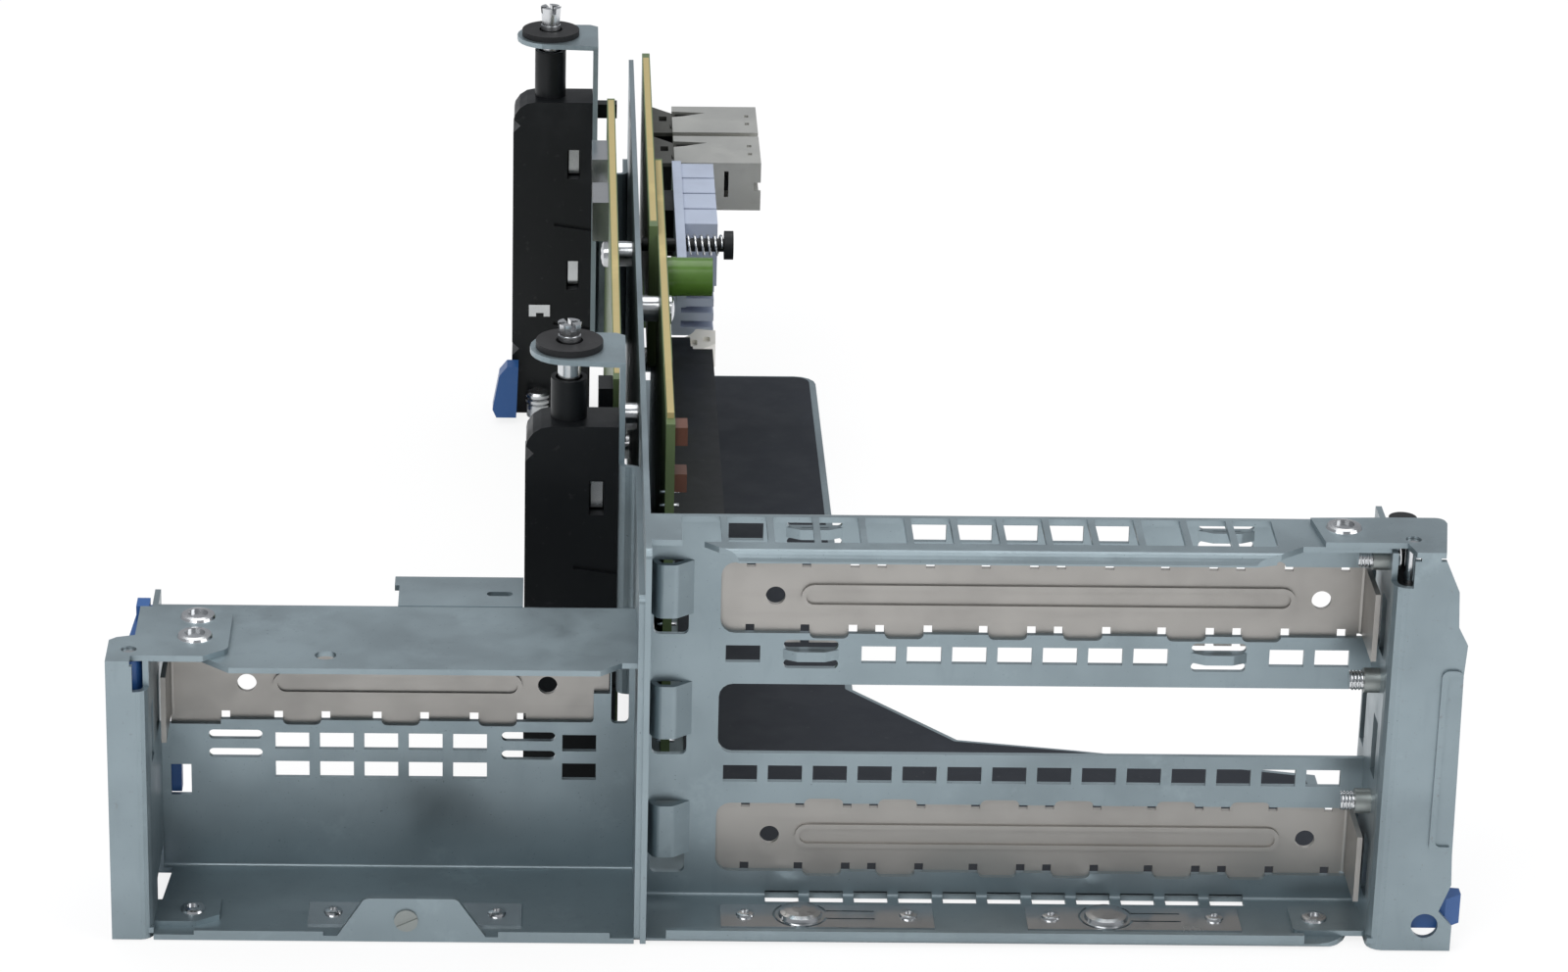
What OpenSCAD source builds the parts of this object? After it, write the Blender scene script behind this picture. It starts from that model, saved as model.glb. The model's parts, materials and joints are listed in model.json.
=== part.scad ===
// Riser cage bracket: a sheet-steel cage that holds two riser boards upright on
// both sides of one long wall, with full-height card slots on the right and a
// low-profile card slot on the left.
// X runs to the right, Y from the slot openings to the far end, Z up.
// The origin is at the floor's underside, at the foot of the long wall's front edge.

/* [Sheet metal] */
// Thickness of the folded steel sheets
sheet_t = 1; // [0.8:0.1:1.2]
// Inside radius of the folds
fold_r = 0.6; // [0.4:0.1:0.8]
// Length of the long wall and of the floor behind the slots
wall_len = 262; // [258:1:275]

/* [Right cage, full height] */
// Height of the right cage over its top plate
cage_h = 72; // [71.6:0.2:74]
// Clear width of the right cage between the long wall and its column
cage_w = 121.6; // [120.8:0.2:124]
// Distance of the slot panel behind the cage's front edges
panel_y = 16.5; // [15.5:0.5:19]
// Height of the lowest slot's centre over the floor's underside
slot_low_z = 12.1; // [12:0.1:12.6]
// Distance from one slot to the next
slot_pitch = 22.3; // [22:0.1:22.6]
// Height of a slot's window
window_h = 12.9; // [12.6:0.1:13.2]

/* [Left cage, low profile] */
// Clear width of the left cage between its column and the long wall
left_w = 82; // [81.6:0.2:84]
// Height of the left cage over its top plate
left_h = 50.5; // [49.5:0.5:53]
// Distance of the left slot panel behind the front edges
left_panel_y = 26; // [25:0.5:28]
// Height of the low-profile slot's centre over the floor's underside
left_slot_z = 35.4; // [35:0.1:36]

/* [Ventilation holes] */
// Distance from one hole to the next in a row
vent_pitch = 7.62; // [7.5:0.02:7.7]
// Width of a hole
vent_w = 5.8; // [5:0.1:6.2]
// Height of a hole
vent_h = 3.1; // [2.6:0.1:3.4]

/* [Slot covers] */
// Thickness of a slot cover
cover_t = 0.86; // [0.7:0.02:1]
// Diameter of the two holes in a cover
cover_hole_d = 3.3; // [3:0.1:4]
// Width of the long pressed rib
rib_w = 4.4; // [3.6:0.2:5]
// Height of the long pressed rib
rib_h = 0.5; // [0.3:0.1:0.7]

/* [Screw towers] */
// Width of a tower
tower_w = 16.4; // [15.6:0.2:17]
// Depth of a tower
tower_d = 9.5; // [8.6:0.1:11]
// Height of a tower's shoulder
tower_h = 69; // [67.5:0.5:71]
// Diameter of the long captive screw's shank
screw_d = 4; // [3.6:0.1:4.4]
// Diameter of the tube on top of a tower
tube_d = 6.4; // [6.2:0.1:7.4]
// Height of the steel ear's underside over the floor's underside
ear_z = 81; // [79:0.5:84]
// Diameter of the rubber washer on the ear
washer_d = 11.8; // [10:0.2:13]

/* [Circuit boards] */
// Thickness of the circuit boards
board_t = 1.6; // [1.5:0.1:1.7]
// Height of the boards' top edges
board_h = 71; // [69:0.5:71.4]
// Distance of the right board's face from the long wall's face
board_gap = 3.4; // [3.2:0.1:4]

/* [Hidden] */

$fn = 40;
// Overshoot of a cut past the face that it opens
cut = 1;
// Gap between a rivet, pin or screw and its hole
fit_gap = 0.1;
// Gap between a turning piece and its pin
pin_gap = 0.06;
// Gap between a moving piece and what it moves past
move_gap = 0.4;

// Inner faces of the right column and of the left column
right_x = sheet_t + cage_w;
left_x = -left_w;
// Back of the slot panel
panel_back = panel_y + sheet_t;
left_panel_back = left_panel_y + sheet_t;
// Centre of a row's first hole, and the places of the others
vent_x0 = 16.9;
function vent_x(i) = vent_x0 + i * vent_pitch;
// Height of the hole row over a slot's centre
row_rise = 12;
// Left front corners of the two towers
near_tower_x = -20.2;
near_tower_y = 62;
far_tower_x = -24;
far_tower_y = 242;
function slot_z(i) = slot_low_z + i * slot_pitch;
function row_z(i) = slot_z(i) + row_rise;

// ---------- shared functions and shapes ----------

function unit(v) = v / norm(v);
function left_of(v) = [-v[1], v[0]];
function turned(v, a) = [v[0] * cos(a) - v[1] * sin(a), v[0] * sin(a) + v[1] * cos(a)];
function reversed(p) = [for (i = [len(p) - 1:-1:0]) p[i]];
// Points of an arc about c
function arc(c, r, a0, a1, n = 4) = [for (k = [0:n]) c + r * [cos(a0 + (a1 - a0) * k / n),
    sin(a0 + (a1 - a0) * k / n)]];
// One side of a sheet's section: the path's folds rounded to rc, offset by h to its left
function fold_side(p, rc, h) = [for (i = [0:len(p) - 1]) each
    i == 0 ? [p[0] + h * left_of(unit(p[1] - p[0]))]
    : i == len(p) - 1 ? [p[i] + h * left_of(unit(p[i] - p[i - 1]))]
    : let (a = unit(p[i] - p[i - 1]), b = unit(p[i + 1] - p[i]), s = sign(cross(a, b)),
        bend = acos(a * b), c = p[i] - rc * tan(bend / 2) * a + s * rc * left_of(a))
        [for (k = [0:4]) c - s * (rc - s * h) * turned(left_of(a), s * bend * k / 4)]];

// Section of a folded sheet of thickness t along the path p
module folded(p, t = sheet_t, r = fold_r) polygon(concat(fold_side(p, r + t / 2, t / 2),
    reversed(fold_side(p, r + t / 2, -t / 2))));

// Rectangle from corner a to corner b
module rect(a, b) translate(a) square([b[0] - a[0], b[1] - a[1]]);

// Rectangle from corner a to corner b with corners of radius r
module round_rect(a, b, r) polygon(concat(
    arc([b[0] - r, b[1] - r], r, 0, 90), arc([a[0] + r, b[1] - r], r, 90, 180),
    arc([a[0] + r, a[1] + r], r, 180, 270), arc([b[0] - r, a[1] + r], r, 270, 360)));

// Children lie in the XZ plane and fill y to y + t
module upright(y, t) translate([0, y + t, 0]) rotate([90, 0, 0]) linear_extrude(t) children();

// Children lie in the YZ plane and fill x to x + t
module sideways(x, t) translate([x, 0, 0]) rotate([90, 0, 90]) linear_extrude(t) children();

// Children lie in the XY plane and fill z to z + t
module flat(z, t) translate([0, 0, z]) linear_extrude(t) children();

// Row of rectangular holes centred on the places xs
module vent_row(xs, z) for (x = xs)
    rect([x - vent_w / 2, z - vent_h / 2], [x + vent_w / 2, z + vent_h / 2]);

// A lanced bridge: two slots, with the strip between them pressed out of the panel
lance_w = 9.2;
lance_slot_h = 1.7;
lance_strip_h = 1.8;
module lance_slots(x, z) for (s = [-1, 1])
    let (zc = z + s * (lance_strip_h + lance_slot_h) / 2)
    round_rect([x - lance_w / 2, zc - lance_slot_h / 2], [x + lance_w / 2, zc + lance_slot_h / 2], 0.8);
module lance_bridge(x, z, y) translate([0, 0, z - lance_strip_h / 2]) linear_extrude(lance_strip_h)
    folded([[x - lance_w / 2, y + sheet_t / 2], [x - 2.2, y + sheet_t / 2 - 1.2],
        [x + 2.2, y + sheet_t / 2 - 1.2], [x + lance_w / 2, y + sheet_t / 2]], sheet_t, 0.2);

// Rivet or screw head: a flat dome of diameter d and height h on z = 0
module dome_head(d, h) rotate_extrude() polygon(concat([[0, 0], [d / 2, 0]],
    [for (k = [1:4]) [d / 2 * cos(90 * k / 4), h * (0.35 + 0.65 * sin(90 * k / 4))]]));

// ---------- right cage ----------

// The slots' windows, open towards the column
window_x = 13;
window_half = window_h / 2;
// Recesses of a covered window's edges, and the covers' notches beside them
recess_xs = [for (c = [37.6, 67.6, 97.6], s = [-1, 1]) c + s * 6.3];
recess_w = 6.6;
recess_d = 0.9;
module recesses(xs, z) for (x = xs)
    round_rect([x - recess_w / 2, z - window_half - recess_d], [x + recess_w / 2,
        z + window_half + recess_d], 1);
module slot_windows() {
    for (i = [0:2])
        round_rect([window_x, slot_z(i) - window_half], [right_x + 9, slot_z(i) + window_half], 2.4);
    for (i = [0, 2]) recesses(recess_xs, slot_z(i));
}

// Openings at the panel's left edge that take the tongues of card brackets
tongue_x = [1.8, 7.7];
tongue_h = 13.6;
module tongue_openings() for (i = [0:2])
    round_rect([tongue_x[0], slot_z(i) - tongue_h / 2], [tongue_x[1], slot_z(i) + tongue_h / 2], 1);

// Bowed loop in front of a tongue opening
loop_h = 9.7;
loop_out = 2.4;
module tongue_loops() for (i = [0:2])
    translate([0, 0, slot_z(i) + tongue_h / 2 - loop_h]) linear_extrude(loop_h)
        folded([[tongue_x[0] - 0.2, panel_y + sheet_t / 2], [tongue_x[0] + 0.9,
            panel_y + sheet_t / 2 - loop_out],
            [tongue_x[1] - 2.4, panel_y + sheet_t / 2 - loop_out], [tongue_x[1] + 0.6,
                panel_y + sheet_t / 2]],
            sheet_t, 0.4);

lip_h = 2.6;
top_lip_h = 1.9;
module frame_section() folded([[sheet_t / 2, lip_h], [sheet_t / 2, sheet_t / 2],
    [panel_y + sheet_t / 2, sheet_t / 2], [panel_y + sheet_t / 2, cage_h - sheet_t / 2],
    [sheet_t / 2, cage_h - sheet_t / 2], [sheet_t / 2, cage_h - top_lip_h]]);

// Holes in the panel's strips; the numbers are places in the row
module panel_holes() {
    vent_row([for (i = [0:13]) vent_x(i)], row_z(0));
    vent_row([for (i = [0, 3, 4, 5, 6, 7, 8, 9, 12, 13]) vent_x(i)], row_z(1));
    vent_row([for (i = [0, 4, 5, 6, 7, 8]) vent_x(i)], row_z(2));
    for (j = [1, 2], i = [1.5, 10.5]) lance_slots(vent_x(i), row_z(j));
}

// Windows along the top plate, with narrow ribs between them
plate_rib = 1.1;
module plate_windows() for (i = [-1:11])
    rect([vent_x(i) - (vent_pitch - plate_rib) / 2, 4.4], [vent_x(i) + (vent_pitch - plate_rib) / 2,
        panel_y - 1.4]);

// What is cut from the two ends of the top plate's front
module plate_front_cuts() {
    polygon([[0, -cut], [15.2, -cut], [15.2, 0], [12, 2.2], [9, 5], [0, 5]]);
    polygon([[100, -cut], [right_x + cut, -cut], [right_x + cut, 4.4], [108, 4.4], [104, 1.2], [100, 0]]);
}

// Slots along the fold between floor and panel
module fold_slots() for (i = [1:11])
    rect([vent_x(i) - vent_w / 2, panel_y - 2.4], [vent_x(i) + vent_w / 2, panel_back + cut]);

floor_notch_xs = [34.6, 39.2, 47.2, 66.5, 83, 92.5, 97];
module slot_frame() color([0.66, 0.72, 0.75]) {
    difference() {
        sideways(sheet_t, cage_w) frame_section();
        upright(panel_y - 0.3, sheet_t + cut) {
            slot_windows();
            tongue_openings();
            panel_holes();
        }
        flat(cage_h - top_lip_h - cut, top_lip_h + 2 * cut) plate_front_cuts();
        flat(cage_h - sheet_t - cut, sheet_t + 2 * cut) plate_windows();
        flat(-cut, cut + 1.9) fold_slots();
        // the floor's front lip stops short of both ends
        flat(sheet_t, lip_h) { rect([0, -cut], [4.4, 3]); rect([112, -cut], [right_x + cut, 3]); }
        flat(-cut, lip_h) polygon(concat([[113, -cut], [right_x + cut, -cut], [right_x + cut, 7]],
            arc([113, 7], 7, 0, -90, 6)));
        // small square holes at the front of the floor
        flat(-cut, sheet_t + 2 * cut) for (x = floor_notch_xs) rect([x - 0.8, 2], [x + 0.8, 3.4]);
        for (x = spring_xs) spring_rivet_holes(x, spring_y);
        translate([floor_tab_x, floor_tab_y, -cut]) cylinder(sheet_t + 2 * cut, d = rivet_d + 2 * fit_gap);
        translate([cap_rivet[0], cap_rivet[1], cage_h - sheet_t - cut])
            cylinder(sheet_t + 2 * cut, d = rivet_d + 2 * fit_gap);
    }
    tongue_loops();
    for (j = [1, 2], i = [1.5, 10.5]) lance_bridge(vent_x(i), row_z(j), panel_y);
}

// ---------- long wall and floor ----------

tray_w = 41;
module tray_outline() polygon(concat([[sheet_t, panel_back], [right_x, panel_back], [right_x, 66],
    [80, 75.5], [59, 79.5], [tray_w, 101]], arc([tray_w - 4.5, wall_len - 4.5], 4.5, 0, 90),
    [[sheet_t, wall_len]]));

// Places of the riser board's standoffs on the wall: [y, z]
standoff_places = [[75, 20], [140, 62], [140, 14], [196, 30]];
left_standoff_places = [[100, 56], [184, 57], [184, 16]];
standoff_d = 5;
board_screw_d = 3;
module wall_holes() for (p = concat(standoff_places, left_standoff_places))
    translate([-cut, p[0], p[1]]) rotate([0, 90, 0]) cylinder(sheet_t + 2 * cut, d = board_screw_d);

module main_wall() color([0.62, 0.68, 0.71]) difference() {
    union() {
        translate([0, wall_len, 0]) rotate([90, 0, 0]) linear_extrude(wall_len - panel_back)
            folded([[sheet_t / 2, cage_h], [sheet_t / 2, sheet_t / 2], [10, sheet_t / 2]]);
        sideways(0, sheet_t) polygon(concat([[0, 0], [panel_back + 2, 0], [panel_back + 2, cage_h]],
            arc([1.4, cage_h - 1.4], 1.4, 90, 180)));
        intersection() {
            flat(0, sheet_t) tray_outline();
            flat(-cut, 3) rect([8, 0], [right_x + cut, wall_len + cut]);
        }
    }
    wall_holes();
    // the board's contact edge looks out through a slot in the floor
    flat(-cut, sheet_t + 2 * cut) rect([board_x - 0.6, edge_y[0] - 1], [board_x + board_t + 0.6,
        edge_y[1] + 1]);
    flat(-cut, sheet_t + 2 * cut) rect([sheet_t + fold_r + 3, wall_len - 3], [sheet_t + 12,
        wall_len + cut]);
}

insulator_t = 0.4;
insulator_edge = 1.4;
module insulator_sheet() color([0.24, 0.26, 0.30]) difference() {
    flat(sheet_t, insulator_t) polygon(concat([[9, panel_back + 0.5], [right_x - 2, panel_back + 0.5],
        [right_x - 2, 66 - insulator_edge], [80, 75.5 - insulator_edge], [58.4, 79.5 - insulator_edge],
        [tray_w - insulator_edge, 100.5]], arc([tray_w - 4.5, wall_len - 4.5], 3.1, 0, 90),
        [[14, wall_len - insulator_edge], [14, wall_len - 6], [9, wall_len - 6]]));
}

// ---------- right column and its latch ----------

flange_w = 14;
column_depth = panel_back + 6;
column_r = 1.6;
cap_rivet = [115.4, 10.4];
rivet_d = 3;
floor_tab_x = 114.6;
floor_tab_y = 7.8;
latch_x = right_x + 3.6;
latch_y = 5.6;
latch_pin_d = 2.4;
slot_screw_y = 8;
slot_screw_d = 3;
bush_d = 4.2;

// Front flange's outline, bitten into at its outer edge
module flange_outline() difference() {
    polygon([[right_x + 2.4, 0], [right_x + flange_w, 0], [right_x + flange_w, 4.6],
        [right_x + 11.6, 7.4], [right_x + 13.4, 12.4], [right_x + 13.1, 18], [right_x + 12.6, 51],
        [right_x + 12.9, 56.4], [right_x + 11.2, 59.6], [right_x + 10.8, cage_h - 6], [right_x + 8.4,
            cage_h - 0.6],
        [right_x + 2.4, cage_h - 0.6]]);
    translate([right_x + 9.4, 4.7]) circle(d = 4.5);
}

// Windows of the column's wall at a slot, for the bracket's tab and the latch
module wall_window(x, z) for (y = [5.6, panel_back + 0.6])
    translate([x - cut, y, z - 5.2]) cube([sheet_t + 2 * cut, 4.4, 10.4]);

module right_column() color([0.66, 0.72, 0.75]) {
    difference() {
        union() {
            // inner wall folded into the front flange
            flat(0, cage_h - 0.6) folded([[right_x + sheet_t / 2, column_depth],
                [right_x + sheet_t / 2, sheet_t / 2], [right_x + 4, sheet_t / 2]], r = column_r);
            upright(0, sheet_t) flange_outline();
            sideways(right_x, sheet_t) rect([4.6, cage_h - 2], [cap_far - 0.4, cage_h + 0.2]);
            upright(0, sheet_t) rect([right_x + 4.2, cage_h - 2], [right_x + 7.4, cage_h + 0.2]);
        }
        for (i = [0:2]) wall_window(right_x, slot_z(i));
        for (i = [0:2]) translate([right_x - cut, slot_screw_y, row_z(i)]) rotate([0, 90, 0])
            cylinder(sheet_t + 2 * cut, d = slot_screw_d + 2 * fit_gap);
        // notch in the fold at the top
        translate([right_x - cut, -cut, cage_h - 5.4]) cube([4.2, 4.4, 5.4 + cut]);
    }
    // pressed channel along the flange's outer edge
    upright(-0.5, 0.6) difference() {
        round_rect([right_x + 9, slot_z(0) + 6.6], [right_x + 12.5, 52], 1.2);
        round_rect([right_x + 10, slot_z(0) + 7.6], [right_x + 12.5 + cut, 51], 0.9);
    }
    // top cap with its tab over the slot frame's plate
    difference() {
        flat(cage_h, sheet_t) polygon(concat([[110.4, cap_far - 0.4], [111.6, 4], [right_x + 2.4, 4],
            [right_x + 3.4, 0],
            [right_x + 8.2, 0], [right_x + 10.2, cap_far - 2.4]], arc([right_x + 8.4, cap_far - 1.7],
                1.7, 0, 90),
            [[right_x + 1, cap_far]]));
        translate([latch_x, latch_y, cage_h - cut]) cylinder(3, d = latch_pin_d + 2 * fit_gap);
        translate([cap_rivet[0], cap_rivet[1], cage_h - cut]) cylinder(3, d = rivet_d + 2 * fit_gap);
    }
    // tab over the slot frame's floor, and the foot that carries the latch
    difference() {
        flat(sheet_t, sheet_t) union() {
            round_rect([floor_tab_x - 4, floor_tab_y - 4.6], [right_x + 0.5, floor_tab_y + 4.6], 1);
            rect([right_x, 0.5], [right_x + 7.6, cap_far]);
        }
        translate([floor_tab_x, floor_tab_y, 0]) cylinder(3, d = rivet_d + 2 * fit_gap);
        translate([latch_x, latch_y, 0]) cylinder(3, d = latch_pin_d + 2 * fit_gap);
    }
}

cap_far = panel_y - 1.7;
latch_z = [2 * sheet_t + 0.2, cage_h - 0.2];
tab_z = 9.4;
latch_arm_y = column_depth - 2.8;
// Eye of a latch about its pin
module latch_eye(x, y, z0, z1, d) translate([x, y, z0]) difference() {
    cylinder(z1 - z0, d = d);
    translate([0, 0, -cut]) cylinder(z1 - z0 + 2 * cut, d = latch_pin_d + 2 * pin_gap);
}
module latch_bar_right() color([0.10, 0.10, 0.12]) {
    difference() {
        union() {
            latch_eye(latch_x, latch_y, tab_z + 0.2, latch_z[1], 5);
            flat(tab_z + 2, latch_z[1] - tab_z - 6) polygon([[latch_x - 1.8, latch_y + 1.6],
                [latch_x + 1.8, latch_y + 1.6],
                [latch_x + 2.2, latch_arm_y], [right_x + sheet_t + move_gap, latch_arm_y],
                [right_x + sheet_t + move_gap, latch_y + 4]]);
            // knob behind the cap
            translate([latch_x + 0.1, cap_far + 3, latch_z[1] - 8]) cylinder(8, d = 4.7);
        }
        for (i = [0:2]) {
            translate([latch_x, panel_back - 1, slot_z(i) + 3]) cube([4, 3, 5]);
            // clear of the slot screws' heads
            translate([right_x, -cut, row_z(i) - 3.2]) cube([10, slot_screw_y + 4 + cut, 6.4]);
        }
    }
}

module latch_tab_right() color([0.20, 0.35, 0.59]) {
    latch_eye(latch_x, latch_y, latch_z[0], tab_z, 5);
    flat(latch_z[0] + 1.4, 5.4) polygon([[latch_x + 2, latch_y - 2.4], [right_x + 6, sheet_t + move_gap],
        [right_x + 13, sheet_t + move_gap], [right_x + 15.8, 3.4], [right_x + 15.8, 5.6], [right_x + 13, 6],
        [latch_x + 2, latch_y + 1.6]]);
}

module latch_pin_right() color([0.7, 0.7, 0.72])
    translate([latch_x, latch_y, sheet_t]) cylinder(cage_h - 0.4, d = latch_pin_d);
module latch_pin_left() color([0.7, 0.7, 0.72])
    translate([left_latch_x, left_latch_y, sheet_t]) cylinder(left_h - 0.4, d = latch_pin_d);

// Screws through the column's wall that hold the card brackets' tabs
module slot_screws() color([0.72, 0.74, 0.76]) for (i = [0:2])
    translate([right_x, slot_screw_y, row_z(i)]) rotate([0, -90, 0]) {
        translate([0, 0, -sheet_t]) cylinder(sheet_t + 5, d = slot_screw_d);
        translate([0, 0, -sheet_t]) rotate([180, 0, 0]) dome_head(5.2, 1.2);
    }

module slot_bushes() color([0.55, 0.58, 0.58]) for (i = [0:2])
    translate([right_x, slot_screw_y, row_z(i)]) rotate([0, -90, 0]) difference() {
        cylinder(2.6, d = bush_d);
        translate([0, 0, -cut]) cylinder(2.6 + 2 * cut, d = slot_screw_d + 0.02);
    }

// ---------- slot covers ----------

// A cover lies behind the panel and is notched beside every recess
notch_w = 1.5;
notch_d = 1.2;
cover_x0 = 9;
cover_x1 = right_x - 2.6;
cover_fold_x = right_x - 1;
cover_half = window_half + 2.1;
tongue_w = 7;
module cover_notches(xs, z, x_ends, up, down) for (x = concat([for (r = xs, e = [-1,
    1]) r + e * (recess_w + notch_w) / 2], x_ends)) {
    if (up) rect([x - notch_w / 2, z + window_half - notch_d], [x + notch_w / 2, z + cover_half + cut]);
    if (down) rect([x - notch_w / 2, z - cover_half - cut], [x + notch_w / 2, z - window_half + notch_d]);
}

// Long pressed rib of a cover, rounded at its ends
module rib(x0, x1, z, y) upright(y - rib_h, rib_h + 0.2) difference() {
    round_rect([x0, z - rib_w / 2], [x1, z + rib_w / 2], rib_w / 2 - 0.05);
    round_rect([x0 + 0.8, z - rib_w / 2 + 0.8], [x1 - 0.8, z + rib_w / 2 - 0.8], rib_w / 2 - 0.9);
}

cover_holes = [22.2, 113.7];
rib_x = [26.5, 109.3];
ear_reach = 11.4;
module cover_full(i) {
    y = panel_back;
    difference() {
        union() {
            upright(y, cover_t) round_rect([cover_x0, slot_z(i) - cover_half], [cover_x1,
                slot_z(i) + cover_half], 1);
            upright(y, cover_t) rect([tongue_x[0] + 1.4, slot_z(i) - tongue_w / 2 + 1.6], [cover_x0 + 2,
                slot_z(i) + tongue_w / 2 + 1.6]);
            // end folded forward beside the column
            flat(slot_z(i) - window_half + 0.4, window_h - 0.8) folded([[cover_x1 - 1, y + cover_t / 2],
                [cover_fold_x - cover_t / 2, y + cover_t / 2], [cover_fold_x - cover_t / 2,
                    y - ear_reach]], cover_t, 0.5);
        }
        upright(y - cut, cover_t + 2 * cut) {
            for (x = cover_holes) translate([x, slot_z(i)]) circle(d = cover_hole_d);
            cover_notches(recess_xs, slot_z(i), [18, 117.4], true, true);
        }
    }
    rib(rib_x[0], rib_x[1], slot_z(i), y);
}
module cover_upper() color([0.66, 0.65, 0.63]) cover_full(2);
module cover_lower() color([0.66, 0.65, 0.63]) cover_full(0);

// ---------- contact springs on the floors ----------

spring_xs = [18, 70];
spring_y = 8.6;
left_spring_x = -52;
left_spring_y = 8.2;
spring_rivet_span = 27.8;
spring_t = 0.4;
dome_d = 7.6;
small_rivet_d = 2;
module spring_rivet_holes(x, y) for (dx = [0, spring_rivet_span])
    translate([x + dx, y, -cut]) cylinder(sheet_t + 2 * cut, d = small_rivet_d + 2 * fit_gap);

module contact_spring(x, y) color([0.70, 0.70, 0.69]) difference() {
    union() {
        difference() {
            flat(sheet_t, spring_t) rect([x - 4.2, y - 4.6], [x + spring_rivet_span + 4.2, y + 3.6]);
            // ring and two slits that free the contact's arm
            translate([x + 9.4, y, 0]) difference() {
                cylinder(3, d = dome_d + 1.8);
                translate([0, 0, -cut]) cylinder(5, d = dome_d + 1);
                translate([0, -1.1, -cut]) cube([8, 2.2, 5]);
            }
            for (s = [-1, 1]) translate([x + 9.4 + dome_d / 2 + 0.2, y + s * 1.4 - 0.2, 0]) cube([8.6,
                0.4, 3]);
            for (dx = [0, spring_rivet_span]) translate([x + dx, y, 0]) cylinder(3,
                d = small_rivet_d + 2 * fit_gap);
        }
        translate([x + 9.4, y, sheet_t + spring_t - 0.1]) dome_head(dome_d, 1.3);
    }
}
module contact_spring_a() contact_spring(spring_xs[0], spring_y);
module contact_spring_b() contact_spring(spring_xs[1], spring_y);
module contact_spring_left() contact_spring(left_spring_x, left_spring_y);

// Hollow rivet through a floor and what lies on it
module floor_rivet(x, y, z1, d, head) translate([x, y, 0]) {
    cylinder(z1, d = d);
    translate([0, 0, z1]) difference() {
        dome_head(head, 0.6);
        translate([0, 0, 0.15]) cylinder(2, d = d * 0.7);
    }
}
module spring_rivets() color([0.62, 0.63, 0.64]) {
    for (x = spring_xs, dx = [0, spring_rivet_span])
        floor_rivet(x + dx, spring_y, sheet_t + spring_t, small_rivet_d, 3.2);
    for (dx = [0, spring_rivet_span])
        floor_rivet(left_spring_x + dx, left_spring_y, sheet_t + spring_t, small_rivet_d, 3.2);
}
module floor_tab_rivets() color([0.62, 0.63, 0.64]) {
    floor_rivet(floor_tab_x, floor_tab_y, 2 * sheet_t, rivet_d, 4.4);
    floor_rivet(left_floor_tab_x, left_floor_tab_y, 2 * sheet_t, rivet_d, 4.4);
}

// ---------- left cage ----------

left_cap_rivets = [[-74.8, 18.6], [-74.8, 10.5]];
left_floor_tab_x = -75.8;
left_floor_tab_y = 7.6;
left_latch_x = left_x - 3.4;
left_latch_y = 4.9;
left_row_z = [19.6, 25];
left_vent_x0 = -59.6;
pin_place = [-39.4, 4.1];
pin_d = 3;
// What is cut from the ends of the left top plate's front
module left_plate_cuts() {
    polygon([[left_x - cut, -cut], [-68.6, -cut], [-68.6, 0], [-73.4, 4.4], [left_x - cut, 4.4]]);
    polygon([[cut, -cut], [-7.2, -cut], [-7.2, 0], [-3.6, 3.2], [cut, 3.2]]);
}

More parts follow.
